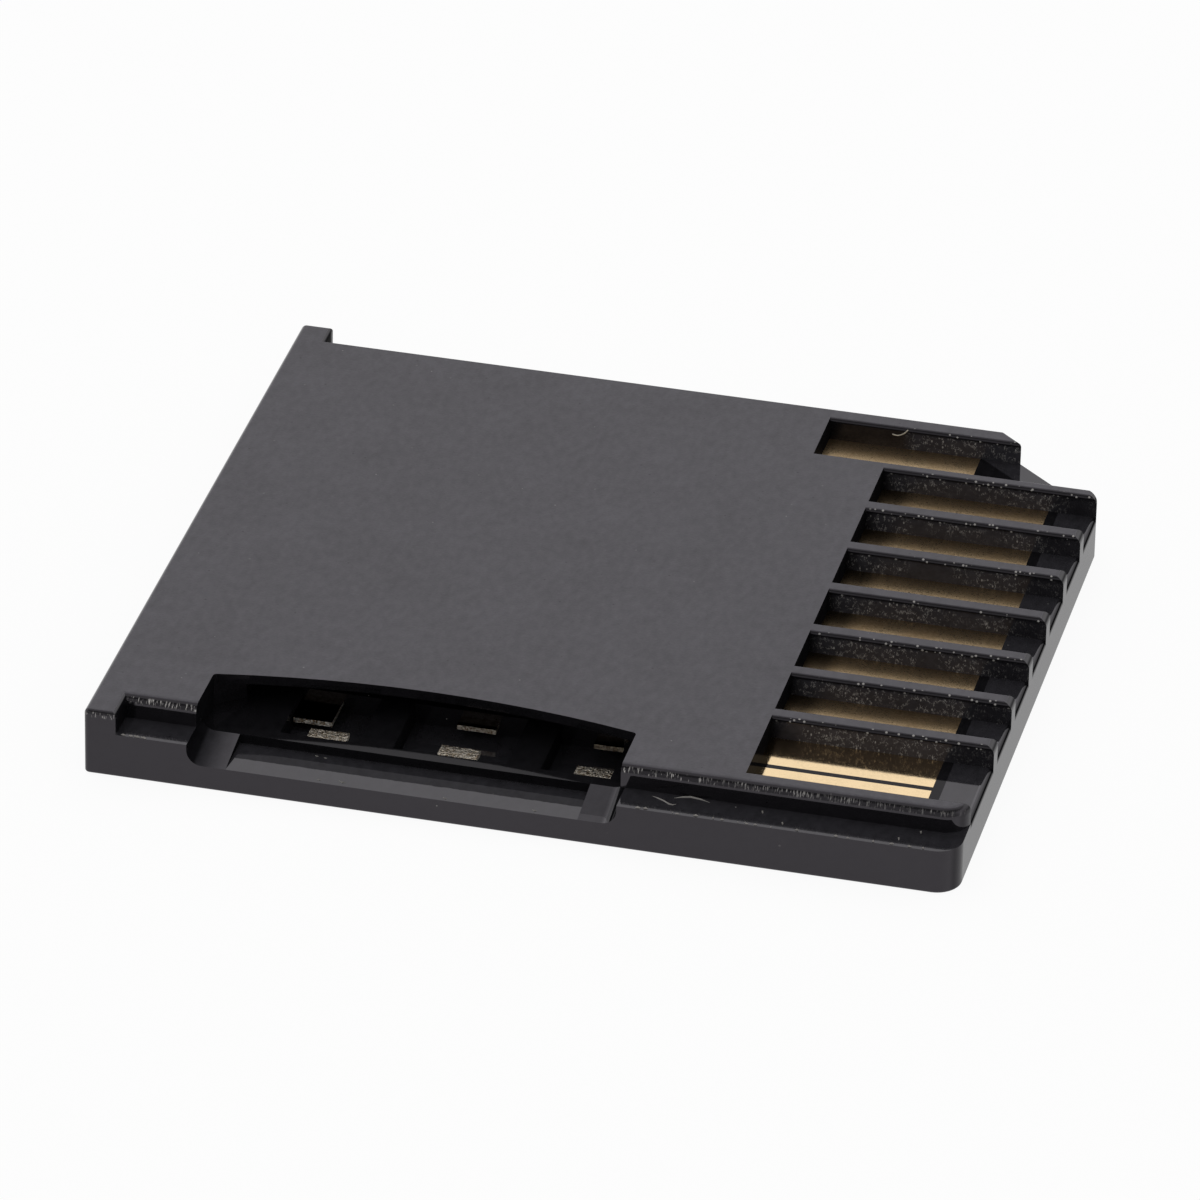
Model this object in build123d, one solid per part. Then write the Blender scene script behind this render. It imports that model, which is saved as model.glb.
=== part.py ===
from build123d import *
import os

# A short memory card adapter that lies with its contact side up.
# A small card slides into its front long side, contacts down, and nine leads bring that
# card's contacts out to the pads in the slots along the contact edge.
# Frame: origin at the bottom centre of the whole part, +X to the contact edge,
# +Y to the side with the cut corner, +Z up to the contact side. Millimetres.

# Along X, from the back end to the contact edge
end_block_length = 0.95     # the block across the back end, as wide as the body
pocket_length = 2.1         # end block to the mouth
mouth_left_margin = 0.8     # how much further the mouth opens than the card slot
mouth_right_margin = 0.52
lead_field = 4.03           # card slot to the roots of the contact slots
slot_length = 6.52
slot_9_extra_length = 2.21

# Along Y, from the front face to the far face
front_step = 1.05           # how far the contact side is set in from the front face
front_rail = 0.663
wide_slot_width = 3.165     # pads 7 and 8 share one slot
pad_pitch = 2.5
rib_width = 0.536           # between the slots of pads 1 to 8
slot_9_rib_width = 0.436    # the last rib, between pads 1 and 9
slot_9_width = 2.15
far_rail = 0.586
far_step = 0.95             # contact side to the far face

# Along Z, from the label side to the contact side
label_floor = 0.4
channel_depth = 0.65        # label floor to the floor that the card slides on
card_height = 0.7
card_lift = 0.05            # room over the card
cover_thickness = 0.3
rib_height = 0.7            # the side ledges lie at the foot of the ribs

# Corners and edges of the body
cut_length = 4.61           # what the cut corner takes off along X
cut_width = 3.99            # and along Y
front_corner_round = 0.75
back_corner_round = 0.15
cut_corner_round = 0.3
bottom_edge_round = 0.08
cover_edge_round = 0.28     # the cover's upper edges at the front and at the contact edge
crisp_edge_round = 0.05     # the same edges at the cut corner and the far side
block_edge_round = 0.15     # the upper edges of the block across the back end
rib_edge_round = 0.12
lead_in_round = 0.2         # the edge of each slot's floor that the host's contacts ride over

# The small card
card_width = 11.0
card_length = 15.0
card_step = 1.3             # what the card's front end loses at one side
card_tongue_length = 6.4
card_clearance = 0.1        # at each side and behind
card_contact_count = 8
card_contact_pitch = 1.1
card_contact_back = 2.3     # front edge of the card to the point a finger presses
card_notch_back = 8.45      # front edge of the card to the middle of its notch

# Mouth: a bite out of the contact side and a lowered front wall under it
mouth_depth = 2.93          # front face to the ends of the bite's curved edge
mouth_bow = 0.67            # how far that edge bows in at its middle
mouth_corner_round = 0.12
mouth_flare = 0.7
sill_right_run = 0.13       # how far the lowered wall runs past the bite
sill_corner_round = 0.45
lip_drop = 0.285            # card floor down to the recess for the card's thicker lip
lip_left_margin = 0.36      # side of the card slot to that recess
lip_right_margin = 0.48

# Leads
metal_thickness = 0.15
pad_end_gap = 1.45          # contact edge to the end of a pad
long_pad_end_gap = 1.15     # pads 3 and 4 mate first and reach further out
pad_tuck = 0.07             # how far a pad's long edges lie under the ribs
pad_root_overlap = 0.12     # how far a pad runs in under the contact side shell
wide_slot_pad_gap = 0.2     # between pads 7 and 8
trace_width = 0.3
trace_depth = 0.2           # card floor down to the top of the traces
run_pitch = 0.55
lane_start = 0.3            # card slot to the middle of the first lane beside it
lane_pitch = 0.6
lane_count = 6
climbing_count = 5          # card contacts whose traces turn to the far side on their way
joggle_width = 0.6
joggle_run = 0.45
finger_width = 0.5
finger_length = 3.0         # from where a finger leaves the carrier to the point that presses
finger_tip_reach = 1.1
finger_rise = 0.28          # of a free finger over the card floor
finger_tip_drop = 0.25

# The moulded carrier between the shells
carrier_skin = 0.083        # outside the pads, front and far
cut_wall = 0.75             # carrier pocket to the cut face
carrier_end_rail = 0.7
carrier_front_bar = 0.4
finger_window_width = 0.8
window_depth = 2.6          # along Y
window_bar = 1.0            # between the three windows inside the mouth
left_window_start = 1.45    # side of the card slot to the first window
left_window_width = 2.34
right_window_width = 2.05

# Cut ends of the stamped frame that stand into those windows. Each pair of values is the
# offset from the window's left side and the reach into the window.
near_stubs = ((0.71, 0.79), (1.23, 0.88), (0.9, 0.8))
far_stubs = ((0.06, 1.36), (1.37, 0.51), (1.07, 0.51))
stub_width = 1.15
stub_anchor = 0.3

# Leaf spring that drops into the notch in the card's side
spring_thickness = 0.12
spring_height = 0.28
spring_setback = 0.4
spring_press = 0.25         # how far its hump stands into the slot
spring_half_length = 1.6
spring_anchor = 0.6
spring_room = 0.25

# Pins of the contact side shell, welded into the label side shell
weld_pin_radius = 0.5
weld_pin_length = 0.6
weld_pin_back = 6.0         # front face to the pin beside the card
weld_clearance = 0.03

# Overall sizes and places that follow from the sizes above
slot_span = card_width + 2 * card_clearance
body_length = (end_block_length + pocket_length + mouth_left_margin + slot_span
               + lead_field + slot_length)
body_width = (front_step + front_rail + wide_slot_width + 6 * pad_pitch + slot_9_rib_width
              + slot_9_width + far_rail + far_step)
card_floor = label_floor + channel_depth
slot_ceiling = card_floor + card_height + card_lift
body_height = slot_ceiling + cover_thickness
seam_height = body_height - rib_height
contact_edge = body_length / 2
back_end = -body_length / 2
front_face = -body_width / 2
far_face = body_width / 2
step_front = front_face + front_step
step_far = far_face - far_step
cut_near = far_face - cut_width         # Y where the cut meets the contact edge
cut_far = contact_edge - cut_length     # X where it meets the far face
block_face = back_end + end_block_length
mouth_left = block_face + pocket_length
slot_left = mouth_left + mouth_left_margin
slot_right = slot_left + slot_span
mouth_right = slot_right + mouth_right_margin
mouth_end = front_face + mouth_depth
slot_root = contact_edge - slot_length
slot_9_root = slot_root - slot_9_extra_length
slot_width = pad_pitch - rib_width
wide_slot_low = step_front + front_rail
wide_slot_high = wide_slot_low + wide_slot_width
first_rib_side = wide_slot_high + 6 * pad_pitch
slot_9_low = first_rib_side + slot_9_rib_width
slot_9_high = slot_9_low + slot_9_width
card_front_edge = front_face + card_length
slot_end = card_front_edge + card_clearance
press_y = card_front_edge - card_contact_back
finger_root = press_y - finger_length
carrier_front = wide_slot_low - pad_tuck - carrier_skin
carrier_far = slot_9_high + pad_tuck + carrier_skin
carrier_edge = contact_edge - long_pad_end_gap
window_near = carrier_front + carrier_front_bar
window_far = window_near + window_depth
trace_top = card_floor - trace_depth
trace_level = trace_top - metal_thickness / 2
pad_level = seam_height - metal_thickness / 2
above = 1.0                 # how far a cutting shape runs past the face that it opens


def block(x, y, z):
    """A box between two X, two Y and two Z values."""
    return Pos((x[0] + x[1]) / 2, (y[0] + y[1]) / 2, (z[0] + z[1]) / 2) * Box(
        x[1] - x[0], y[1] - y[0], z[1] - z[0])


def plate(points, low, high):
    """An upright prism on a polygon in plan."""
    return Pos(0, 0, low) * extrude(make_face(Polyline(*points, close=True)), high - low)


def ribbon(points, width):
    """A strip of even width along straight legs, mitred at its corners."""
    path = [Vector(*points[0])]
    for point in points[1:]:
        if (Vector(*point) - path[-1]).length > 0.001:
            path.append(Vector(*point))
    legs = [(b - a).normalized() for a, b in zip(path, path[1:])]
    left, right = [], []
    for place, before, after in zip(path, legs[:1] + legs, legs + legs[-1:]):
        along = (before + after).normalized()
        offset = Vector(-along.Y, along.X) * (width / 2 / along.dot(before))
        left.append(place + offset)
        right.insert(0, place - offset)
    return make_face(Polyline(*left, *right, close=True))


def along_y(profile, low, high):
    """Extrudes a profile drawn as (X, Z) between two Y values."""
    return Plane.XZ.offset(-low) * extrude(profile, low - high)


def along_x(profile, low, high):
    """Extrudes a profile drawn as (Y, Z) between two X values."""
    return Plane.YZ.offset(low) * extrude(profile, high - low)


def round_corner(face, x, y, radius):
    """Rounds the corner of a plan shape that lies nearest to a point."""
    return fillet(face.vertices().sort_by_distance((x, y))[0], radius)


def cut_x(y, wall=0.0):
    """X of the cut face at a given Y, or of the line that a wall's thickness behind it."""
    face_length = (cut_length ** 2 + cut_width ** 2) ** 0.5
    return contact_edge - ((y - cut_near) * cut_length + wall * face_length) / cut_width


def cut_y(x, wall=0.0):
    """Y of the same line at a given X."""
    face_length = (cut_length ** 2 + cut_width ** 2) ** 0.5
    return cut_near + ((contact_edge - x) * cut_width - wall * face_length) / cut_length


def body_outline():
    """The plan of the whole part, with its rounded and cut corners."""
    face = make_face(Polyline(
        (back_end, front_face), (contact_edge, front_face), (contact_edge, cut_near),
        (cut_far, far_face), (back_end, far_face), close=True))
    face = round_corner(face, contact_edge, front_face, front_corner_round)
    face = round_corner(face, contact_edge, cut_near, cut_corner_round)
    face = round_corner(face, cut_far, far_face, cut_corner_round)
    face = round_corner(face, back_end, far_face, back_corner_round)
    return round_corner(face, back_end, front_face, back_corner_round)


def pad_slots():
    """Low Y, high Y and root X of each open slot, from the cut corner to the front."""
    slots = [(slot_9_low, slot_9_high, slot_9_root)]
    for number in range(6):
        high = first_rib_side - number * pad_pitch
        slots.append((high - slot_width, high, slot_root))
    slots.append((wide_slot_low, wide_slot_high, slot_root))
    return slots


def pad_places():
    """Low Y, high Y, root X and end X of each numbered pad."""
    places = {9: (slot_9_low - pad_tuck, slot_9_high + pad_tuck,
                  slot_9_root - pad_root_overlap, cut_x(slot_9_high + pad_tuck, cut_wall))}
    for number in range(1, 7):
        high = first_rib_side - (number - 1) * pad_pitch
        gap = long_pad_end_gap if number in (3, 4) else pad_end_gap
        places[number] = (high - slot_width - pad_tuck, high + pad_tuck,
                          slot_root - pad_root_overlap, contact_edge - gap)
    middle = (wide_slot_low + wide_slot_high) / 2
    places[7] = (middle + wide_slot_pad_gap / 2, wide_slot_high + pad_tuck,
                 slot_root - pad_root_overlap, contact_edge - pad_end_gap)
    places[8] = (wide_slot_low - pad_tuck, middle - wide_slot_pad_gap / 2,
                 slot_root - pad_root_overlap, contact_edge - pad_end_gap)
    return places


def card_space(low, high):
    """The room for the small card, flared at the mouth, between two heights."""
    tongue_right = slot_right - card_step
    return plate([
        (mouth_left, front_face - above), (mouth_left, mouth_end),
        (slot_left, mouth_end + mouth_flare), (slot_left, slot_end),
        (tongue_right, slot_end), (tongue_right, slot_end - card_tongue_length),
        (slot_right, slot_end - card_tongue_length - card_step),
        (slot_right, mouth_end + mouth_flare),
        (mouth_right, mouth_end), (mouth_right, front_face - above)], low, high)


def carrier_outline():
    """The plan of the carrier, which is also the pocket it sits in."""
    return [
        (mouth_left, carrier_front), (carrier_edge, carrier_front),
        (carrier_edge, cut_y(carrier_edge, cut_wall)),
        (cut_x(carrier_far, cut_wall), carrier_far),
        (slot_right, carrier_far), (slot_right, slot_end + carrier_end_rail),
        (mouth_left, slot_end + carrier_end_rail)]


def weld_pin_spots():
    """Where the shells are pinned together, clear of the card and the leads."""
    beside = (back_end + mouth_left) / 2
    behind = (slot_end + carrier_end_rail + step_far) / 2
    return [(beside, front_face + weld_pin_back), (beside, behind), (slot_left, behind)]


def lead_in_edge():
    """What rounding the contact edge takes off the floor of the slots."""
    floor = block((slot_9_root, contact_edge), (front_face, far_face), (0, seam_height))
    edge = floor.edges().group_by(Axis.Z)[-1].sort_by(Axis.X)[-1]
    return floor - fillet(edge, lead_in_round)


def label_side_shell():
    """The tray that faces down, with the lowered wall at the mouth."""
    shell = extrude(body_outline(), seam_height)
    shell = fillet(shell.edges().group_by(Axis.Z)[0], bottom_edge_round)
    lead_in = lead_in_edge()
    for low, high, root in pad_slots():
        shell -= lead_in & block((root, contact_edge + above), (low, high),
                                 (0, seam_height + above))
    slope = lip_drop / (carrier_front - front_face)
    sill = along_x(make_face(Polyline(
        (front_face - above, card_floor - lip_drop - slope * above), (carrier_front, card_floor),
        (carrier_front, seam_height + above), (front_face - above, seam_height + above),
        close=True)), mouth_left, mouth_right + sill_right_run)
    foot = sill.edges().filter_by(
        lambda e: e.center().Z < card_floor and abs(e.tangent_at(0).X) < 0.5)
    shell -= fillet(foot, sill_corner_round)
    shell -= block((slot_left + lip_left_margin, slot_right - lip_right_margin),
                   (front_face - above, carrier_front), (card_floor - lip_drop, seam_height))
    shell -= plate(carrier_outline(), label_floor, seam_height + above)
    for x, y in weld_pin_spots():
        shell -= Pos(x, y, seam_height) * Cylinder(
            weld_pin_radius + weld_clearance, 2 * (weld_pin_length + weld_clearance))
    return shell


def slot_cutter(low, high, root):
    """Cuts one contact slot and rounds the long edges of the ribs beside it."""
    shoulder = body_height - rib_edge_round
    bend = rib_edge_round * (1 - 0.5 ** 0.5)
    profile = make_face([
        Line((low, seam_height - above), (high, seam_height - above)),
        Line((high, seam_height - above), (high, shoulder)),
        ThreePointArc((high, shoulder), (high + bend, body_height - bend),
                      (high + rib_edge_round, body_height)),
        Line((high + rib_edge_round, body_height), (high + rib_edge_round, body_height + above)),
        Line((high + rib_edge_round, body_height + above),
             (low - rib_edge_round, body_height + above)),
        Line((low - rib_edge_round, body_height + above), (low - rib_edge_round, body_height)),
        ThreePointArc((low - rib_edge_round, body_height), (low - bend, body_height - bend),
                      (low, shoulder)),
        Line((low, shoulder), (low, seam_height - above))])
    return along_x(profile, root, contact_edge + above)


def mouth_bite():
    """The bite in the contact side, with its bowed inner edge."""
    middle = (mouth_left + mouth_right) / 2
    face = make_face([
        Line((mouth_right, mouth_end), (mouth_right, front_face - above)),
        Line((mouth_right, front_face - above), (mouth_left, front_face - above)),
        Line((mouth_left, front_face - above), (mouth_left, mouth_end)),
        ThreePointArc((mouth_left, mouth_end), (middle, mouth_end + mouth_bow),
                      (mouth_right, mouth_end))])
    face = round_corner(face, mouth_left, mouth_end, mouth_corner_round)
    face = round_corner(face, mouth_right, mouth_end, mouth_corner_round)
    return Pos(0, 0, seam_height - above) * extrude(face, body_height - seam_height + 2 * above)


def cover_plate():
    """The cover from the end block to the contact edge, crisper along its far side."""
    start = (back_end + block_face) / 2
    outline = make_face(Polyline(
        (start, step_front), (contact_edge, step_front), (contact_edge, cut_near),
        (cut_x(step_far), step_far), (start, step_far), close=True))
    outline = round_corner(outline, contact_edge, step_front, front_corner_round)
    cover = Pos(0, 0, seam_height) * extrude(outline, rib_height)
    top = cover.edges().group_by(Axis.Z)[-1].filter_by(lambda e: e.center().X > start + 0.001)
    cover = fillet(top.filter_by(lambda e: e.center().Y < cut_near), cover_edge_round)
    top = cover.edges().group_by(Axis.Z)[-1].filter_by(lambda e: e.center().X > start + 0.001)
    return fillet(top.filter_by(lambda e: e.center().Y > cut_near), crisp_edge_round)


def end_block():
    """The block across the back end, as wide as the body."""
    outline = make_face(Polyline(
        (back_end, front_face), (block_face, front_face), (block_face, far_face),
        (back_end, far_face), close=True))
    outline = round_corner(outline, back_end, front_face, back_corner_round)
    outline = round_corner(outline, back_end, far_face, back_corner_round)
    raised = Pos(0, 0, seam_height) * extrude(outline, rib_height)
    return fillet(raised.edges().group_by(Axis.Z)[-1], block_edge_round)


def contact_side_shell():
    """The cover over the card, with the comb of ribs and the block across the back end."""
    rounded = Pos(0, 0, seam_height) * extrude(body_outline(), rib_height)
    shell = (cover_plate() & rounded) + end_block()
    for low, high, root in pad_slots():
        shell -= slot_cutter(low, high, root)
    shell -= card_space(seam_height - above, slot_ceiling)
    shell -= mouth_bite()
    for x, y in weld_pin_spots():
        shell += Pos(x, y, seam_height) * Cylinder(
            weld_pin_radius, weld_pin_length, align=(Align.CENTER, Align.CENTER, Align.MAX))
    return shell


def finger(x):
    """A sprung finger that rises through the carrier to press on one contact of the card."""
    press_level = card_floor + finger_rise - metal_thickness / 2
    profile = ribbon([
        (finger_root - trace_width, trace_level), (finger_root + trace_width, trace_level),
        (press_y - finger_width / 2, press_level), (press_y + finger_width / 2, press_level),
        (press_y + finger_tip_reach, press_level - finger_tip_drop)], metal_thickness)
    return along_x(profile, x - finger_width / 2, x + finger_width / 2)


def finger_place(card_contact):
    """X of the finger under one contact of the card, which is numbered from the right."""
    tongue_centre = slot_left + card_clearance + (card_width - card_step) / 2
    return tongue_centre + ((card_contact_count + 1) / 2 - card_contact) * card_contact_pitch


def trace_lane(card_contact, climbs):
    """X of the lane beside the card that a trace turns in, so that no two traces cross."""
    lane = card_contact - 1 if climbs else lane_count + climbing_count - card_contact
    return slot_right + lane_start + lane * lane_pitch


def lead(number, card_contact):
    """One stamped lead: its pad, the step down, its trace under the card and its finger."""
    low, high, root, end = pad_places()[number]
    pad = block((root, end), (low, high), (seam_height - metal_thickness, seam_height))
    foot = root - joggle_run
    margin = pad_tuck + joggle_width / 2
    if card_contact is None:
        landing = (low + high) / 2
        trace = None
    else:
        x = finger_place(card_contact)
        run = finger_root - card_contact * run_pitch
        landing = min(max(run, low + margin), high - margin)
        lane = trace_lane(card_contact, landing > run)
        trace = Pos(0, 0, trace_top - metal_thickness) * extrude(ribbon([
            (x, finger_root), (x, run), (lane, run), (lane, landing), (foot, landing)],
            trace_width), metal_thickness)
    joggle = along_y(ribbon([
        (foot - trace_width, trace_level), (foot, trace_level), (root, pad_level),
        (root + trace_width, pad_level)], metal_thickness),
        landing - joggle_width / 2, landing + joggle_width / 2)
    piece = pad + joggle
    if trace is not None:
        piece = piece + trace + finger(x)
    return piece


def contact_leads():
    """All nine leads by pad number. Pad 3 is a second ground with no contact on the card."""
    card_contacts = {1: 2, 2: 3, 3: None, 4: 4, 5: 5, 6: 6, 7: 7, 8: 8, 9: 1}
    return {number: lead(number, contact) for number, contact in card_contacts.items()}


def front_window_spans():
    """Left and right X of the three openings in the carrier's floor inside the mouth."""
    left = slot_left + left_window_start
    right = slot_right - right_window_width
    return [(left, left + left_window_width),
            (left + left_window_width + window_bar, right - window_bar),
            (right, slot_right)]


def tie_bar_stubs():
    """The cut ends of the stamped frame, left standing in the front windows."""
    level = (trace_top - metal_thickness, trace_top)
    stubs = []
    for (left, right), (near_offset, near_reach), (far_offset, far_reach) in zip(
            front_window_spans(), near_stubs, far_stubs):
        near, far = left + near_offset, left + far_offset
        stubs.append(block((near, near + stub_width),
                           (window_near - stub_anchor, window_near + near_reach), level))
        stubs.append(block((far, far + stub_width),
                           (window_far - far_reach, window_far + stub_anchor), level))
    return Compound(children=stubs)


def card_catch_spring():
    """The leaf spring beside the slot, with its hump at the notch in the card's side."""
    back = slot_right + spring_setback
    notch = card_front_edge - card_notch_back
    hump = slot_right - spring_press + spring_thickness / 2
    leaf = ribbon([
        (back, notch + spring_half_length + spring_anchor), (back, notch + spring_half_length / 2),
        (hump, notch + spring_thickness), (hump, notch - spring_thickness),
        (back, notch - spring_half_length / 2), (back, notch - spring_half_length)],
        spring_thickness)
    return Pos(0, 0, seam_height - spring_height) * extrude(leaf, spring_height)


def spring_space():
    """The pocket in the carrier that the leaf spring flexes in."""
    notch = card_front_edge - card_notch_back
    back = slot_right + spring_setback + spring_thickness / 2 + spring_room
    return block((slot_right - above, back),
                 (notch - spring_half_length - spring_room, notch + spring_half_length),
                 (card_floor, seam_height + above))


def lead_carrier(leads, spring, stubs):
    """The tray moulded round the leads, with the card's floor and guide walls in one."""
    tray = plate(carrier_outline(), label_floor, seam_height)
    tray -= card_space(card_floor, seam_height + above)
    tray -= spring_space()
    for span in front_window_spans():
        tray -= block(span, (window_near, window_far), (label_floor - above, seam_height))
    for card_contact in range(1, card_contact_count + 1):
        x = finger_place(card_contact)
        tray -= block((x - finger_window_width / 2, x + finger_window_width / 2),
                      (finger_root, press_y + finger_tip_reach + trace_width),
                      (label_floor - above, seam_height))
    for metal in [*leads.values(), spring, *stubs.children]:
        tray -= metal
    return tray


leads = contact_leads()
spring = card_catch_spring()
stubs = tie_bar_stubs()
nodes = {
    "label_side_shell": label_side_shell(),
    "contact_side_shell": contact_side_shell(),
    "lead_carrier": lead_carrier(leads, spring, stubs),
    "card_catch_spring": spring,
    "tie_bar_stubs": stubs,
}
for number, piece in leads.items():
    nodes[f"contact_lead_{number}"] = piece

os.makedirs("parts", exist_ok=True)
for name, solid in nodes.items():
    export_step(solid, f"parts/{name}.step")
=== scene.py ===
import math
import random

import bmesh
import bpy
from bpy.props import FloatProperty, FloatVectorProperty, IntProperty, PointerProperty
from bpy.types import Operator, Panel, PropertyGroup
from mathutils import Matrix, Vector


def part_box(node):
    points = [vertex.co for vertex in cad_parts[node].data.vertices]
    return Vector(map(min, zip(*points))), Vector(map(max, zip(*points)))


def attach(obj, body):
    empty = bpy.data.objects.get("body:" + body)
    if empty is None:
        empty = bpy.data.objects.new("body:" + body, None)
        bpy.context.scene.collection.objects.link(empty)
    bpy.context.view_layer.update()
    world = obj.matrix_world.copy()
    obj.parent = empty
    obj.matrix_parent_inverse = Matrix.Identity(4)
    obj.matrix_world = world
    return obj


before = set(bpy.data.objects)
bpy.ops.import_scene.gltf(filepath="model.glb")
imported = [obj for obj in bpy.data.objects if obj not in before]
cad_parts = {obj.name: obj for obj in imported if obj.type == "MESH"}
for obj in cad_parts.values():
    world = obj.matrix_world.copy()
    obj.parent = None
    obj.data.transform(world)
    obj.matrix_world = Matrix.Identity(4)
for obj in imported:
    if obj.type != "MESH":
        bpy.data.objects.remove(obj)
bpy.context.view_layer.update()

bl_info = {
    "name": "Memory card adapter",
    "version": (1, 0, 0),
    "blender": (4, 5, 0),
    "location": "3D View > Sidebar > Adapter",
    "description": "Moulded plastic, gold contacts, moulding scuffs and a pale studio",
    "category": "Object",
}

MM = 0.001
SENSOR_WIDTH = 36   # of the camera, in millimetres
FLOOR_SINK = 0.01   # how far the floor lies below the object, in millimetres

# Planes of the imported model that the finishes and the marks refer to, in millimetres
cover_low, cover_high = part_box("contact_side_shell")
_, tray_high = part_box("label_side_shell")
FRONT, FAR = cover_low[1] / MM, cover_high[1] / MM
CONTACT_EDGE = cover_high[0] / MM
TOP = cover_high[2] / MM
LEDGE = tray_high[2] / MM
SLOT_ROOT = CONTACT_EDGE - 6.52     # inner end of the contact slots
SLOT_9_FAR_WALL = 10.464            # Y of the far wall of the cut corner's slot
LIP_RECESS = 0.765                  # height of the lip in the card mouth
LIP_STRIP_FAR = -11.25              # Y where the light strip on that lip ends
LIP_FAR = -10.4                     # Y of the lip's far edge
SILL_RIGHT_HALF = -5                # X from which the sill's right half starts
NEAR_STUBS = -9.1                   # Y that the near stubs stay in front of
MARK_SINK = 0.005                   # how deep the burrs stand in their face

# Depths of bumps in millimetres
SCRATCH_DEPTH = 0.012
TEAR_DEPTH = 0.11
STRAND_DEPTH = 0.01

# The lamp, in metres
SOFTBOX_PLACE = Vector((-0.08, 0.12, 0.34))
SOFTBOX_SIZE = (0.60, 0.45)

WHITE = (1, 1, 1, 1)
# Painted shade at the inner ends of the pads, near the slot roots
DEEP_SHADE = (0.02, 0.015, 0.01, 1)     # where the pads run in under the cover
# Painted shade on the stubs' tops, where they mirror the cover's dark underside
PAINTED_TOP_SHADE = (0.01, 0.01, 0.01, 1)
# Pale cut metal, also a painted glint on the torn edges
FRESH_METAL_AND_GLINT = (0.95, 0.90, 0.82, 1)

# Paths of the marks, in millimetres. The fibre lies in X and Z and the rest in X and Y
FIBRE = ((6.01, 1.86), (6.15, 1.82), (6.30, 1.88), (6.42, 1.97), (6.48, 2.06))
GOUGE_CURL = ((3.74, -11.18), (3.91, -11.26), (4.13, -11.37), (4.31, -11.50), (4.43, -11.52),
              (4.52, -11.43))
GOUGE_LIP = ((4.38, -11.14), (4.60, -11.04), (4.83, -10.98), (5.13, -11.02), (5.41, -11.11))
LEDGE_SPECKS = ((6.94, -11.17), (7.62, -11.62), (10.97, -11.56), (11.50, -11.05))
# Each burr in the mouth has its start and its reach along X
MOUTH_BURRS = ((-5.93, -11.80, 0.14), (-5.30, -11.72, 0.22), (-6.32, -10.56, 0.10),
               (-6.05, -10.60, 0.10), (-2.2, -11.84, 0.12), (0.4, -11.8, 0.16))


class ShellFinish(PropertyGroup):
    """The black moulded plastic of both shells and of the carrier."""

    colour: FloatVectorProperty(
        name="Plastic", description="Colour of the moulded plastic", subtype="COLOR",
        size=3, min=0, max=1, default=(0.034, 0.033, 0.038))
    sheen: FloatVectorProperty(
        name="Sheen", description="Tint of the light that the plastic mirrors", subtype="COLOR",
        size=3, min=0, max=1, default=(0.97, 0.90, 1.0))
    # Colours the real pale specks, and also the painted glints on the drags and scratches
    dust_and_glints: FloatVectorProperty(
        name="Dust", description="Colour of the pale flecks", subtype="COLOR",
        size=3, min=0, max=1, default=(0.62, 0.60, 0.57))
    matt: FloatProperty(
        name="Matt roughness", description="Roughness of the textured broad faces",
        subtype="FACTOR", min=0, max=1, default=0.52)
    gloss: FloatProperty(
        name="Gloss roughness", description="Roughness of ledges, slot walls and mouth",
        subtype="FACTOR", min=0, max=1, default=0.05)
    satin: FloatProperty(
        name="Satin roughness", description="Roughness of the outer side walls",
        subtype="FACTOR", min=0, max=1, default=0.16)
    grain: FloatProperty(
        name="Grain", description="Grains of the moulded texture in a millimetre",
        min=1, max=40, default=11)
    grain_depth: FloatProperty(
        name="Grain depth", description="Height of the moulded texture", subtype="DISTANCE",
        unit="LENGTH", min=0, max=0.0001, precision=6, default=0.000006)


class ContactFinish(PropertyGroup):
    """The gold plated leads and the bare cut metal."""

    gold: FloatVectorProperty(
        name="Gold", description="Colour of the plating", subtype="COLOR",
        size=3, min=0, max=1, default=(0.92, 0.70, 0.42))
    tarnish: FloatVectorProperty(
        name="Tarnish", description="Colour where the plating is rubbed", subtype="COLOR",
        size=3, min=0, max=1, default=(0.29, 0.195, 0.105))
    brass: FloatVectorProperty(
        name="Cut metal", description="Colour of the cut ends of the stamped frame",
        subtype="COLOR", size=3, min=0, max=1, default=(0.62, 0.54, 0.42))
    steel: FloatVectorProperty(
        name="Spring steel", description="Colour of the catch spring", subtype="COLOR",
        size=3, min=0, max=1, default=(0.56, 0.55, 0.53))
    polish: FloatProperty(
        name="Polish", description="Roughness of the plating between its scratches",
        subtype="FACTOR", min=0, max=1, default=0.045)


class WearMarks(PropertyGroup):
    """The loose fibre, the gouge and the little burrs."""

    fibre_width: FloatProperty(
        name="Fibre", description="Thickness of the loose fibre", subtype="DISTANCE",
        unit="LENGTH", min=0, max=0.0002, precision=6, default=0.00004)
    burr_width: FloatProperty(
        name="Burrs", description="Width of the lifted plastic", subtype="DISTANCE",
        unit="LENGTH", min=0, max=0.0003, precision=6, default=0.00007)
    nick_count: IntProperty(
        name="Nicks", description="Little nicks along the front ledge's outer edge",
        min=0, max=200, default=30)


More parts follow.
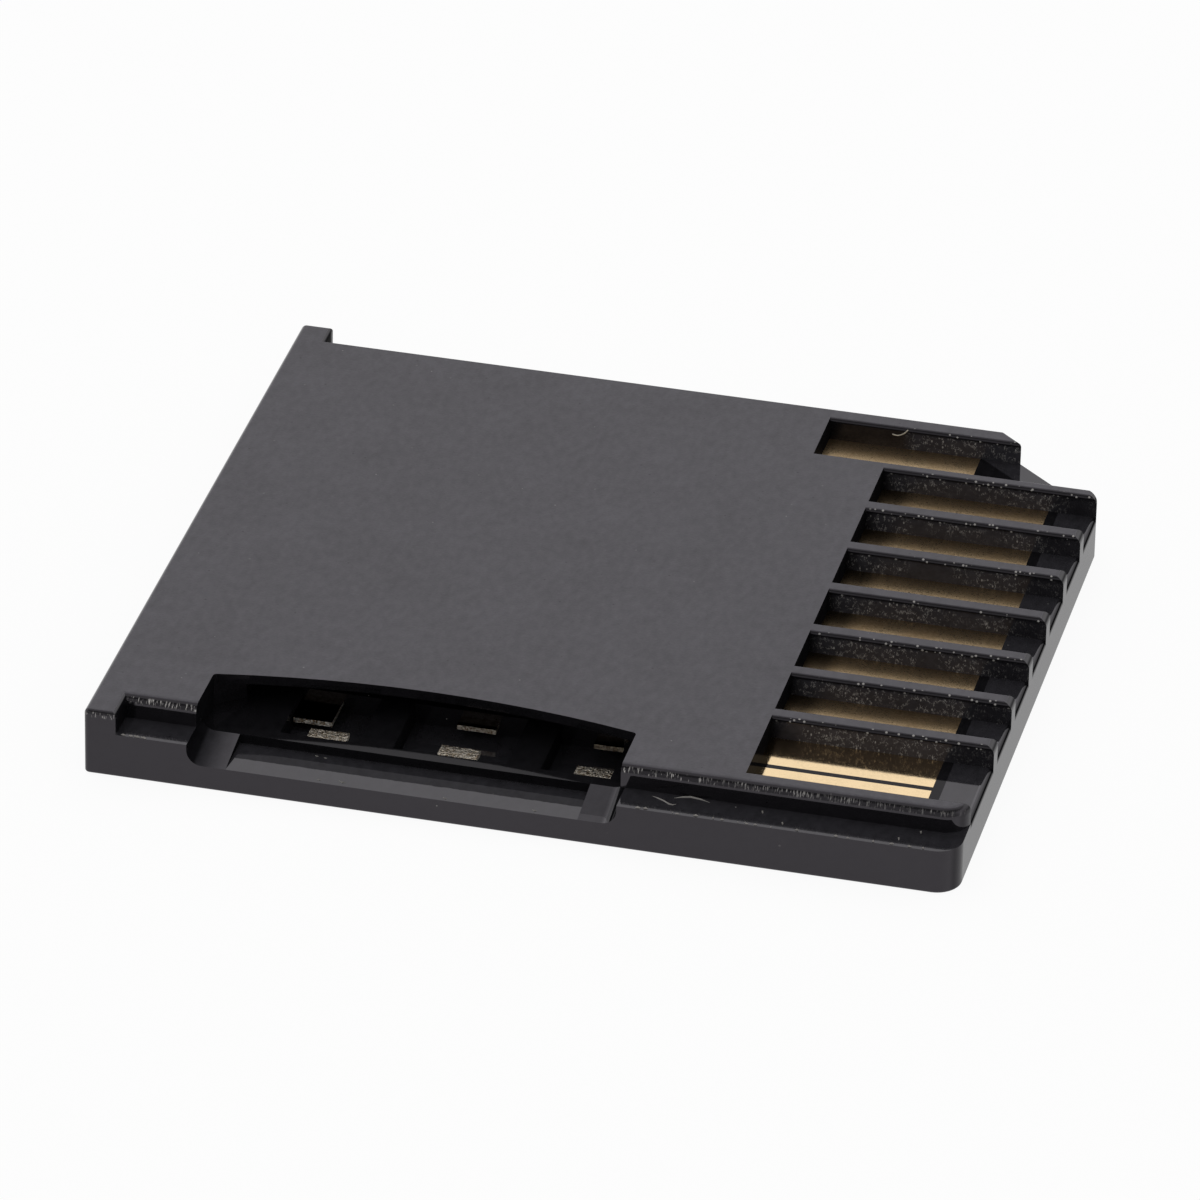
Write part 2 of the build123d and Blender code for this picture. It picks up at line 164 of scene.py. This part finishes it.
class StudioStage(PropertyGroup):
    """Camera, floor and light."""

    azimuth: FloatProperty(
        name="Azimuth", description="Turn of the camera from the front face",
        subtype="ANGLE", default=math.radians(13.10))
    elevation: FloatProperty(
        name="Elevation", description="Height of the camera over the floor",
        subtype="ANGLE", default=math.radians(30.11))
    roll: FloatProperty(
        name="Roll", description="Tilt of the camera", subtype="ANGLE",
        default=math.radians(1.20))
    distance: FloatProperty(
        name="Distance", description="Camera to the point it looks at", subtype="DISTANCE",
        unit="LENGTH", min=0.05, default=0.296483)
    target: FloatVectorProperty(
        name="Target", description="Point in the middle of the picture",
        subtype="TRANSLATION", unit="LENGTH", size=3, precision=6,
        default=(-0.0004588, -0.0001429, 0.001))
    lens: FloatProperty(
        name="Lens", description="Focal length in millimetres on a 36 mm sensor",
        min=10, default=302.45)
    sky: FloatProperty(
        name="Sky", description="Strength of the white surroundings on the object",
        min=0, max=2, default=0.62)
    overhead: FloatProperty(
        name="Overhead", description="What shiny faces mirror from straight above",
        min=0, max=1, default=0.25)
    camera_side: FloatProperty(
        name="Camera side", description="What shiny faces mirror from over the camera",
        min=0, max=1, default=0.50)
    softbox: FloatProperty(
        name="Softbox", description="Power of the soft lamp overhead", subtype="POWER",
        unit="POWER", min=0, default=0.42)


class Value:
    """A shader socket. Arithmetic on it adds the Math nodes that work it out."""

    def __init__(self, graph, socket):
        self.graph, self.socket = graph, socket

    def maths(self, operation, first, second=None):
        inputs = {0: first} if second is None else {0: first, 1: second}
        return self.graph.add("ShaderNodeMath", {"operation": operation}, inputs)

    def __add__(self, other):
        return self.maths("ADD", self, other)

    def __radd__(self, other):
        return self.maths("ADD", other, self)

    def __sub__(self, other):
        return self.maths("SUBTRACT", self, other)

    def __rsub__(self, other):
        return self.maths("SUBTRACT", other, self)

    def __mul__(self, other):
        return self.maths("MULTIPLY", self, other)

    def __gt__(self, other):
        return self.maths("GREATER_THAN", self, other)

    def __lt__(self, other):
        return self.maths("LESS_THAN", self, other)

    def __abs__(self):
        return self.maths("ABSOLUTE", self)


class Graph:
    """The nodes of one material, or of the world."""

    OUTPUTS = {"materials": "ShaderNodeOutputMaterial", "worlds": "ShaderNodeOutputWorld"}

    def __init__(self, name, kind="materials"):
        self.owner = getattr(bpy.data, kind).new(name)
        self.owner.use_nodes = True
        self.tree = self.owner.node_tree
        self.tree.nodes.clear()
        self.output = self.tree.nodes.new(self.OUTPUTS[kind])

    def add(self, kind, settings=None, sockets=None, output=0):
        """Adds a node, sets it up, fills its sockets and gives back one of its outputs."""
        node = self.tree.nodes.new(kind)
        for setting, value in (settings or {}).items():
            setattr(node, setting, value)
        for name, value in (sockets or {}).items():
            if isinstance(value, Value):
                self.tree.links.new(value.socket, node.inputs[name])
            else:
                node.inputs[name].default_value = value
        return Value(self, node.outputs[output])

    def surface(self, shader):
        """Makes the shader the surface, and gives back the finished material or world."""
        self.tree.links.new(shader.socket, self.output.inputs["Surface"])
        return self.owner

    def millimetres(self, stretch=(1, 1, 1)):
        """The place on the object in millimetres, stretched along its axes."""
        place = self.add("ShaderNodeTexCoord", output="Object")
        return self.add("ShaderNodeVectorMath", {"operation": "MULTIPLY"},
                        {0: place, 1: [s / MM for s in stretch]})

    def axes(self, vector):
        return [self.add("ShaderNodeSeparateXYZ", {}, {0: vector}, axis) for axis in "XYZ"]

    def facing(self):
        """The three axes of the direction that the surface faces."""
        return self.axes(self.add("ShaderNodeNewGeometry", output="Normal"))

    def seen_as_backdrop(self):
        """1 for rays from the camera, also after a mirror or something clear, and 0 for light."""
        seen, *others = [self.add("ShaderNodeLightPath", output=ray) for ray in
                         ("Is Camera Ray", "Is Glossy Ray", "Is Transmission Ray")]
        for ray in others:
            seen = seen.maths("MAXIMUM", seen, ray)
        return seen

    def noise(self, place, scale, detail=3.0, roughness=0.55):
        return self.add("ShaderNodeTexNoise", {},
                        {"Vector": place, "Scale": scale, "Detail": detail,
                         "Roughness": roughness}, "Fac")

    def step(self, value, low, high, start=0.0, end=1.0):
        """From start, below low, to end, above high, and smooth between."""
        return self.add("ShaderNodeMapRange", {"interpolation_type": "SMOOTHSTEP"},
                        {"Value": value, "From Min": low, "From Max": high,
                         "To Min": start, "To Max": end})

    def flecks(self, place, scale, size, share):
        """Small dots, in the given share of the cells."""
        cell = {"Vector": place, "Scale": scale}
        distance = self.add("ShaderNodeTexVoronoi", {}, cell, "Distance")
        pick = self.axes(self.add("ShaderNodeTexVoronoi", {}, cell, "Color"))[0]
        return (1 - self.step(distance, size * 0.6, size)) * (pick < share)

    def blend(self, mask, first, second):
        """Mixes two colours. The Mix node has them at 6 and 7, and the mixed one at output 2."""
        return self.add("ShaderNodeMix", {"data_type": "RGBA", "clamp_factor": True},
                        {0: mask, 6: first, 7: second}, 2)

    def bump(self, height, depth, normal=None):
        """Bumps of a height from 0 to 1 and a depth in millimetres."""
        sockets = {"Height": height, "Strength": 1.0, "Distance": depth * MM}
        if normal is not None:
            sockets["Normal"] = normal
        return self.add("ShaderNodeBump", {}, sockets, "Normal")

    def principled(self, **sockets):
        """A Principled BSDF. Underscores stand for spaces."""
        return self.add("ShaderNodeBsdfPrincipled", {},
                        {key.replace("_", " "): value for key, value in sockets.items()})

    def mix(self, factor, first, second):
        """Mixes two shaders."""
        return self.add("ShaderNodeMixShader", {}, {0: factor, 1: first, 2: second})


def rgba(colour):
    return (*colour, 1.0)


def dry_parts_of_tray(graph, mm, axes, facing):
    """Where the tray's upper faces in the mouth, and its rounded front edge, mirror little."""
    x, y, z = axes
    upper = graph.step(facing[2], 0.1, 0.5)

    # The lip behind its light strip, which ends in a slightly uneven line
    edge = y + graph.noise(mm, 2.5, 4, 0.7) * 0.1
    lip = graph.step(edge, LIP_STRIP_FAR - 0.02, LIP_STRIP_FAR + 0.02)
    lip = lip * (1 - graph.step(y, LIP_FAR - 0.3, LIP_FAR))
    lip = lip * (1 - graph.step(abs(z - LIP_RECESS), 0.02, 0.05))

    # Both ends of the sill, lower than the ledge
    below_ledge = z < LEDGE - 0.03
    left_end = (1 - graph.step(x, -9.6, -8.4)) * graph.step(x, -10.2, -10.0) * below_ledge
    right_end = (x > SILL_RIGHT_HALF) * (z > LIP_RECESS + 0.05) * below_ledge * 0.35

    rim = graph.step(0 - facing[1], 0.25, 0.4) * graph.step(facing[2], 0.25, 0.4)
    rim = rim * (0.25 + graph.step(graph.noise(mm, 2.2, 3), 0.40, 0.55) * 0.6)
    return upper * (lip * 0.8 + left_end + right_end) + rim


def drags_and_painted_glints(graph, mm, axes, forward):
    """Drags on the cover's rounded front edge, painted pale as glints, and the combed bumps under
    them.
    """
    x, y, z = axes
    band = graph.step(z, TOP - 0.24, TOP - 0.17) * (1 - graph.step(z, TOP - 0.09, TOP - 0.04))
    combed = graph.noise(graph.millimetres((24, 3, 5)), 1.0, 3, 0.6)
    patches = graph.step(graph.noise(mm, 0.9, 3, 0.7), 0.40, 0.62)
    left_block = graph.step(0 - x, 9.7, 9.9)
    fading = 1 - graph.step(x, 5.5, 8.5) * 0.65 - graph.step(0 - x, 11.6, 11.8) * 0.3
    drags_and_glints = forward * band * graph.step(combed, 0.53, 0.63) * near_front(graph, y) * fading
    drags_and_glints = drags_and_glints * (0.2 + patches * 0.8 + left_block * 0.5)
    return drags_and_glints, combed * drags_and_glints


def near_front(graph, y):
    """1 on the cover's front edge, and 0 from the first rib on."""
    return 1 - graph.step(y, FRONT + 1.4, FRONT + 1.8)


def slot_wear_and_glints(graph, mm, axes, upright, forward):
    """The slot walls, their pale dots and hair scratches, pale as painted glints, and the bumps
    of those scratches.
    """
    x, y, z = axes
    in_slots = graph.step(x, SLOT_ROOT - 0.1, SLOT_ROOT + 0.5) * (1 - near_front(graph, y))
    rib_edge = graph.step(z, TOP - 0.2, TOP - 0.1)
    dots = graph.flecks(graph.millimetres((1, 1, 1.2)), 7.5, 0.34, 0.34)
    edge_dots_and_glints = forward * rib_edge * dots * in_slots

    wall = upright * forward * in_slots * (1 - rib_edge)
    wall = wall * (1 - graph.step(x, 11.0, 12.0) * 0.8)
    worn = wall * graph.step(graph.noise(mm, 0.55, 2), 0.36, 0.52)
    hairs = graph.noise(graph.millimetres((2.2, 1, 1.0)), 6, 3, 0.7)
    scratches = 1 - graph.step(abs(hairs - 0.5), 0.010, 0.03)
    scratches = scratches * graph.step(graph.noise(mm, 7, 2), 0.48, 0.58)
    scratches = scratches + graph.flecks(graph.millimetres((1, 1, 0.6)), 9, 0.26, 0.22)
    return wall, edge_dots_and_glints * 0.55 + worn * scratches * 0.46, hairs * worn


def moulded_plastic(name, finish, broad_faces, scuffed=False):
    """Plastic from a spark-textured mould: matt broad faces, glossier steps and slots."""
    graph = Graph(name)
    mm = graph.millimetres()
    x, y, z = axes = graph.axes(mm)
    facing = graph.facing()
    upright = 1 - graph.step(abs(facing[2]), 0.3, 0.6)
    if broad_faces == "cover":
        matt = graph.step(facing[2], 0.9, 0.98) * graph.step(z, TOP - 0.1, TOP - 0.03)
    elif broad_faces == "tray":
        matt = graph.step(0 - facing[2], 0.8, 0.95)
    else:
        matt = graph.step(0 - facing[2], 0.8, 0.95) * 0.3
    outside = graph.step(abs(y), FAR - 0.3, FAR - 0.05)
    outside = outside + graph.step(abs(x), CONTACT_EDGE - 0.3, CONTACT_EDGE - 0.05)
    satin = upright * outside

    # Tone is the plastic's own unevenness. The lightness factor after it is painted light: broad
    # matt faces, the tray's upward faces and the slot walls get a paler colour than the other
    # faces
    grain = graph.noise(mm, finish.grain, 2.5, 0.6)
    clouds = graph.noise(mm, 0.55, 3)
    mottle = graph.noise(graph.millimetres((1, 0.55, 1)), 4.2, 3)
    tone = grain * 0.5 + clouds * 0.6 + mottle * 1.1 + 0.05
    tone = tone * (1 - graph.flecks(mm, 2.6, 0.10, 0.16) * 0.6)
    painted_lightness = matt * 1.05 + 0.15
    pale_marks_and_glints = graph.flecks(mm, 1.7, 0.07, 0.14) * 0.08 + graph.flecks(mm, 3.4, 0.10, 0.03) * 0.22
    normal = graph.bump(grain * (0.04 + matt * 0.96 + satin * 0.2), finish.grain_depth / MM)

    # Where the plastic is dry, it mirrors little: faces to the contact edge, and the carrier
    dry = graph.step(facing[0], 0.6, 0.9) * (0.95 - satin * 0.6)
    if broad_faces == "inside":
        dry = 0.6
    if broad_faces == "tray":
        # Painted light: the tray's upward faces, its ledges, get a paler colour
        painted_lightness = painted_lightness + graph.step(facing[2], 0.8, 0.95) * 0.36
        dry = dry + dry_parts_of_tray(graph, mm, axes, facing)
    if scuffed:
        forward = graph.step(0 - facing[1], 0.15, 0.4)
        drags_and_glints, combs = drags_and_painted_glints(graph, mm, axes, forward)
        wall, scratches, hairs = slot_wear_and_glints(graph, mm, axes, upright, forward)
        # Real specks, plus drags and scratches painted pale as painted highlights of their glints
        pale_marks_and_glints = pale_marks_and_glints + drags_and_glints + scratches
        normal = graph.bump(hairs + combs, SCRATCH_DEPTH, normal)
        root = 1 - graph.step(x, SLOT_ROOT + 0.2, SLOT_ROOT + 1.1)
        dry = dry + wall * (0.4 + root * 0.4)
        # Painted light: the slot walls get a paler colour
        painted_lightness = painted_lightness + wall * 0.7

    plain = graph.add("ShaderNodeVectorMath", {"operation": "SCALE"},
                      {0: finish.colour, "Scale": tone * painted_lightness})
    colour = graph.blend(pale_marks_and_glints, plain, rgba(finish.dust_and_glints))
    shiny = graph.principled(
        Base_Color=colour, Normal=normal, Specular_IOR_Level=0.5,
        Specular_Tint=rgba(finish.sheen),
        Roughness=(finish.gloss + matt * (finish.matt - finish.gloss)
                   + satin * (finish.satin - finish.gloss) + pale_marks_and_glints * 0.3))
    dull = graph.principled(Base_Color=colour, Specular_IOR_Level=0.0, Roughness=0.9)
    return graph.surface(graph.mix(dry, shiny, dull))


def rubbed_gold(name, finish):
    """Bright gold plating under a haze of fine scratches that run along X."""
    graph = Graph(name)
    mm = graph.millimetres()
    x, y, _ = graph.axes(mm)
    fine = graph.noise(graph.millimetres((0.25, 1, 1)), 42, 2, 0.6)
    stains = graph.noise(mm, 0.9, 4, 0.65)
    grain = graph.noise(mm, 10, 3, 0.7)
    dull = graph.step(stains * 0.6 + grain * 0.4, 0.44, 0.62)
    scratched = graph.step(fine, 0.32, 0.66) * 0.35 + 0.65

    # The frontmost pad has less haze, and the inner end of the others gets a painted shade
    handled = graph.step(y, FRONT + 3.76, FRONT + 5.8)
    haze = scratched * (0.7 + dull * 0.3) * (0.12 + handled * 0.88)
    colour = graph.blend(haze * 0.9 + dull * 0.1, rgba(finish.gold), rgba(finish.tarnish))
    root = (1 - graph.step(x, SLOT_ROOT + 0.5, SLOT_ROOT + 1.2)) * (y < SLOT_9_FAR_WALL - 2.3)
    colour = graph.blend(root * handled * 0.75, colour, DEEP_SHADE)
    return graph.surface(graph.principled(
        Base_Color=colour, Metallic=1.0, Normal=graph.bump(grain, 0.0006),
        Roughness=finish.polish + haze * 0.42))


def cut_metal(name, colour, tarnish, roughness):
    """Stamped metal: smooth faces, and uneven where it was torn off."""
    graph = Graph(name)
    mm = graph.millimetres()
    x, y, _ = graph.axes(mm)
    up = graph.facing()[2]
    near = 1 - graph.step(y, NEAR_STUBS, NEAR_STUBS + 0.15)
    torn = 1 - graph.step(abs(up), 0.3, 0.6) + near * 0.6
    coarse = graph.noise(mm, 6, 4, 0.7)
    fine = graph.noise(mm, 17, 2)

    # The far stubs get a painted shade on top, and their torn edges paler metal with painted
    # glints that fade towards the right as painted shade
    tint = graph.blend(graph.step(coarse, 0.42, 0.60), rgba(colour), rgba(tarnish))
    painted_top_shade = graph.step(up, 0.6, 0.9) * (1 - near) * (1 - graph.flecks(mm, 9, 0.3, 0.2))
    tint = graph.blend(painted_top_shade * 0.55, tint, PAINTED_TOP_SHADE)
    # Paler torn edges, partly fresh metal and partly painted glints, dimmed on the far stubs
    # towards the right as painted shade
    glints_and_fresh_metal = graph.step(fine, 0.4, 0.55) * (1 - graph.step(x, -5, 0) * (1 - near) * 0.8)
    tint = graph.blend(torn * glints_and_fresh_metal, tint, FRESH_METAL_AND_GLINT)
    return graph.surface(graph.principled(
        Base_Color=tint, Metallic=1.0, Roughness=roughness + torn * 0.3 + fine * 0.06,
        Normal=graph.bump((coarse * 0.5 + fine * 0.5) * (0.01 + torn * 0.99), TEAR_DEPTH)))


def pale_plastic(name, colour, roughness):
    """Plastic that is whitened where it was torn or cut."""
    graph = Graph(name)
    strands = graph.noise(graph.millimetres((3, 9, 9)), 1.4, 3)
    dark = tuple(part * 0.45 for part in colour)
    return graph.surface(graph.principled(
        Base_Color=graph.blend(strands, rgba(dark), rgba(colour)),
        Roughness=roughness, Normal=graph.bump(strands, STRAND_DEPTH)))


def give(material, *nodes):
    """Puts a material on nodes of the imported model, or on new pieces."""
    for node in nodes:
        mesh = node.data
        if not mesh.materials:
            mesh.materials.append(material)
        for slot in node.material_slots:
            slot.material = material


def sliver(bm, path, width, height):
    """A strip of lifted plastic: a low ridge along a path, pointed at both ends."""
    last = len(path) - 1
    rings = []
    for i, point in enumerate(path):
        ahead = Vector(path[min(i + 1, last)]) - Vector(path[max(i - 1, 0)])
        across = Vector((0, 0, 1)).cross(ahead).normalized()
        fullness = math.sin(math.pi * (i + 0.35) / (last + 0.7))
        point = Vector(point)
        offsets = (across * width / 2, -across * width / 2,
                   Vector((0, 0, height)) + across * width * 0.2)
        rings.append([bm.verts.new((point + offset * fullness) * MM) for offset in offsets])
    for near, far in zip(rings, rings[1:]):
        for a, b in ((0, 1), (1, 2), (2, 0)):
            bm.faces.new((near[a], near[b], far[b], far[a]))
    bm.faces.new(rings[0])
    bm.faces.new(list(reversed(rings[-1])))


def add_piece(name, bm, material):
    """Makes a mesh piece that rides on the adapter."""
    bmesh.ops.recalc_face_normals(bm, faces=bm.faces)
    mesh = bpy.data.meshes.new(name)
    bm.to_mesh(mesh)
    bm.free()
    piece = bpy.data.objects.new(name, mesh)
    bpy.context.scene.collection.objects.link(piece)
    give(material, piece)
    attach(piece, "root")


class ADAPTER_OT_shell_finish(Operator):
    """Finish the two shells and the lead carrier in black moulded plastic"""

    bl_idname = "adapter.shell_finish"
    bl_label = "Shell finish"

    def execute(self, context):
        finish = context.scene.adapter_shell
        give(moulded_plastic("cover_plastic", finish, "cover", scuffed=True),
             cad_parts["contact_side_shell"])
        give(moulded_plastic("tray_plastic", finish, "tray"),
             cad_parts["label_side_shell"])
        give(moulded_plastic("carrier_plastic", finish, "inside"),
             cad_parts["lead_carrier"])
        return {"FINISHED"}


class ADAPTER_OT_contact_finish(Operator):
    """Finish the leads in scratched gold, the cut stubs in brass and the spring in steel"""

    bl_idname = "adapter.contact_finish"
    bl_label = "Contact finish"

    def execute(self, context):
        finish = context.scene.adapter_contacts
        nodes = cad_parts
        leads = [node for name, node in nodes.items() if name.startswith("contact_lead_")]
        give(rubbed_gold("rubbed_gold", finish), *leads)
        give(cut_metal("cut_brass", finish.brass, finish.tarnish, 0.06),
             nodes["tie_bar_stubs"])
        give(cut_metal("spring_steel", finish.steel, finish.steel, 0.15),
             nodes["card_catch_spring"])
        return {"FINISHED"}


class ADAPTER_OT_slot_fibre(Operator):
    """Add the pale fibre that clings to the far wall of the cut corner's slot"""

    bl_idname = "adapter.slot_fibre"
    bl_label = "Slot fibre"

    def execute(self, context):
        radius = context.scene.adapter_wear.fibre_width / 2
        wall = SLOT_9_FAR_WALL - radius / MM
        curve = bpy.data.curves.new("slot_fibre", "CURVE")
        curve.dimensions = "3D"
        curve.bevel_depth = radius
        curve.bevel_resolution = 3
        curve.resolution_u = 10
        curve.use_fill_caps = True
        spline = curve.splines.new("NURBS")
        spline.points.add(len(FIBRE) - 1)
        for point, (x, z) in zip(spline.points, FIBRE):
            point.co = (x * MM, wall * MM, z * MM, 1)
        spline.order_u = 3
        spline.use_endpoint_u = True
        fibre = bpy.data.objects.new("slot_fibre", curve)
        context.scene.collection.objects.link(fibre)
        curve.materials.append(pale_plastic("pale_fibre", (0.62, 0.56, 0.45), 0.4))
        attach(fibre, "root")
        return {"FINISHED"}


class ADAPTER_OT_ledge_burrs(Operator):
    """Add the gouge on the front ledge and the nicks along its outer edge"""

    bl_idname = "adapter.ledge_burrs"
    bl_label = "Ledge burrs"

    def execute(self, context):
        wear = context.scene.adapter_wear
        width = wear.burr_width / MM
        bm = bmesh.new()
        floor = LEDGE - MARK_SINK
        thin = width * 0.45
        for path, steepness in ((GOUGE_CURL, 1.3), (GOUGE_LIP, 1.6)):
            sliver(bm, [(x, y, floor) for x, y in path], thin, thin * steepness)
        for x, y in LEDGE_SPECKS:
            sliver(bm, [(x, y, floor), (x + 0.04, y - 0.05, floor), (x + 0.05, y - 0.12, floor)],
                   width * 0.7, width * 0.8)

        # The nicks lie in front of the pocket and along the right half of the ledge's edge
        rng = random.Random(7)
        for _ in range(wear.nick_count):
            x = rng.uniform(-11.9, -10.2) if rng.random() < 0.3 else rng.uniform(3.2, 11.8)
            y = FRONT + rng.uniform(0.04, 0.08)
            reach = rng.uniform(0.03, 0.16)
            sliver(bm, [(x, y, floor), (x + reach / 2, y + rng.uniform(-0.01, 0.01), floor),
                        (x + reach, y, floor)], width * 0.6, width * rng.uniform(0.5, 1.0))
        add_piece("ledge_burrs", bm, pale_plastic("torn_plastic", (0.34, 0.32, 0.30), 0.35))
        return {"FINISHED"}


class ADAPTER_OT_mouth_burrs(Operator):
    """Add the burrs along the front edge of the recess in the card mouth"""

    bl_idname = "adapter.mouth_burrs"
    bl_label = "Mouth burrs"

    def execute(self, context):
        width = context.scene.adapter_wear.burr_width / MM
        bm = bmesh.new()
        floor = LIP_RECESS - MARK_SINK
        for x, y, reach in MOUTH_BURRS:
            sliver(bm, [(x, y, floor), (x + reach * 0.5, y - reach * 0.4, floor),
                        (x + reach, y - reach * 0.2, floor)], width * 0.6, width * 0.5)
        add_piece("mouth_burrs", bm, pale_plastic("mouth_torn_plastic", (0.25, 0.24, 0.22), 0.35))
        return {"FINISHED"}


class ADAPTER_OT_stage(Operator):
    """Set up the camera, the white floor and the soft studio light"""

    bl_idname = "adapter.stage"
    bl_label = "Stage"

    def execute(self, context):
        stage = context.scene.adapter_stage
        self.place_camera(context, stage)
        self.lay_floor(context)
        self.light(context, stage)
        context.scene.view_settings.view_transform = "Standard"
        return {"FINISHED"}

    def place_camera(self, context, stage):
        level = math.cos(stage.elevation)
        back = Vector((math.sin(stage.azimuth) * level, -math.cos(stage.azimuth) * level,
                       math.sin(stage.elevation)))
        right = Vector((0, 0, 1)).cross(back).normalized()
        up = back.cross(right)
        camera_x = right * math.cos(stage.roll) + up * math.sin(stage.roll)
        camera_y = back.cross(camera_x)
        lens = bpy.data.cameras.new("camera")
        lens.lens = stage.lens
        lens.sensor_width = SENSOR_WIDTH
        lens.clip_start = 0.01
        lens.clip_end = 20
        camera = bpy.data.objects.new("camera", lens)
        turn = Matrix((camera_x, camera_y, back)).transposed().to_4x4()
        camera.matrix_world = Matrix.Translation(
            Vector(stage.target) + back * stage.distance) @ turn
        context.scene.collection.objects.link(camera)
        context.scene.camera = camera

    def lay_floor(self, context):
        bm = bmesh.new()
        bmesh.ops.create_grid(bm, x_segments=1, y_segments=1, size=1.5)
        mesh = bpy.data.meshes.new("floor")
        bm.to_mesh(mesh)
        bm.free()
        floor = bpy.data.objects.new("floor", mesh)
        context.scene.collection.objects.link(floor)
        graph = Graph("white_floor")
        sheet = graph.add("ShaderNodeBsdfDiffuse", {}, {"Color": (0.90, 0.90, 0.90, 1)})
        white = graph.add("ShaderNodeEmission", {}, {"Strength": 1.0})
        upper = graph.mix(graph.seen_as_backdrop() * 0.93, sheet, white)
        # From below the floor is clear, so that the label side can be looked at
        below = graph.add("ShaderNodeNewGeometry", output="Backfacing")
        clear = graph.add("ShaderNodeBsdfTransparent")
        give(graph.surface(graph.mix(below, upper, clear)), floor)
        floor.location.z = -FLOOR_SINK * MM

    def light(self, context, stage):
        # Shiny faces mirror a white room that is darker overhead and behind the camera
        graph = Graph("white_surroundings", "worlds")
        _, y, z = graph.axes(graph.add("ShaderNodeTexCoord", output="Generated"))
        overhead = graph.step(z, 0.62, 0.85, 1.0, stage.overhead)
        camera_side = graph.step(y, -0.6, -0.1, stage.camera_side, 1.0)
        plain, white = [
            graph.add("ShaderNodeBackground", {}, {"Color": WHITE, "Strength": strength})
            for strength in (stage.sky, overhead * camera_side)]
        room = graph.mix(graph.seen_as_backdrop(), plain, white)
        context.scene.world = graph.surface(room)

        lamp = bpy.data.lights.new("softbox", "AREA")
        lamp.shape = "RECTANGLE"
        lamp.size, lamp.size_y = SOFTBOX_SIZE
        lamp.energy = stage.softbox
        softbox = bpy.data.objects.new("softbox", lamp)
        softbox.location = SOFTBOX_PLACE
        softbox.rotation_euler = (-SOFTBOX_PLACE).to_track_quat("-Z", "Y").to_euler()
        context.scene.collection.objects.link(softbox)


class ADAPTER_PT_panel(Panel):
    """Lists the adapter's steps and their settings"""

    bl_idname = "ADAPTER_PT_panel"
    bl_label = "Memory card adapter"
    bl_space_type = "VIEW_3D"
    bl_region_type = "UI"
    bl_category = "Adapter"

    def draw(self, context):
        layout = self.layout
        for group, operators in STEPS:
            box = layout.box()
            settings = getattr(context.scene, group)
            for name in settings.__annotations__:
                box.prop(settings, name)
            for operator in operators:
                box.operator(operator.bl_idname)


SETTINGS = {
    "adapter_shell": ShellFinish,
    "adapter_contacts": ContactFinish,
    "adapter_wear": WearMarks,
    "adapter_stage": StudioStage,
}
STEPS = (
    ("adapter_shell", (ADAPTER_OT_shell_finish,)),
    ("adapter_contacts", (ADAPTER_OT_contact_finish,)),
    ("adapter_wear", (ADAPTER_OT_slot_fibre, ADAPTER_OT_ledge_burrs, ADAPTER_OT_mouth_burrs)),
    ("adapter_stage", (ADAPTER_OT_stage,)),
)
OPERATORS = [operator for _, operators in STEPS for operator in operators]


def register():
    for cls in (*SETTINGS.values(), *OPERATORS, ADAPTER_PT_panel):
        bpy.utils.register_class(cls)
    for name, cls in SETTINGS.items():
        setattr(bpy.types.Scene, name, PointerProperty(type=cls))


def unregister():
    for name in SETTINGS:
        delattr(bpy.types.Scene, name)
    for cls in reversed((*SETTINGS.values(), *OPERATORS, ADAPTER_PT_panel)):
        bpy.utils.unregister_class(cls)


def main():
    register()
    for operator in OPERATORS:
        group, step = operator.bl_idname.split(".")
        getattr(getattr(bpy.ops, group), step)()


if __name__ == "__main__":
    main()
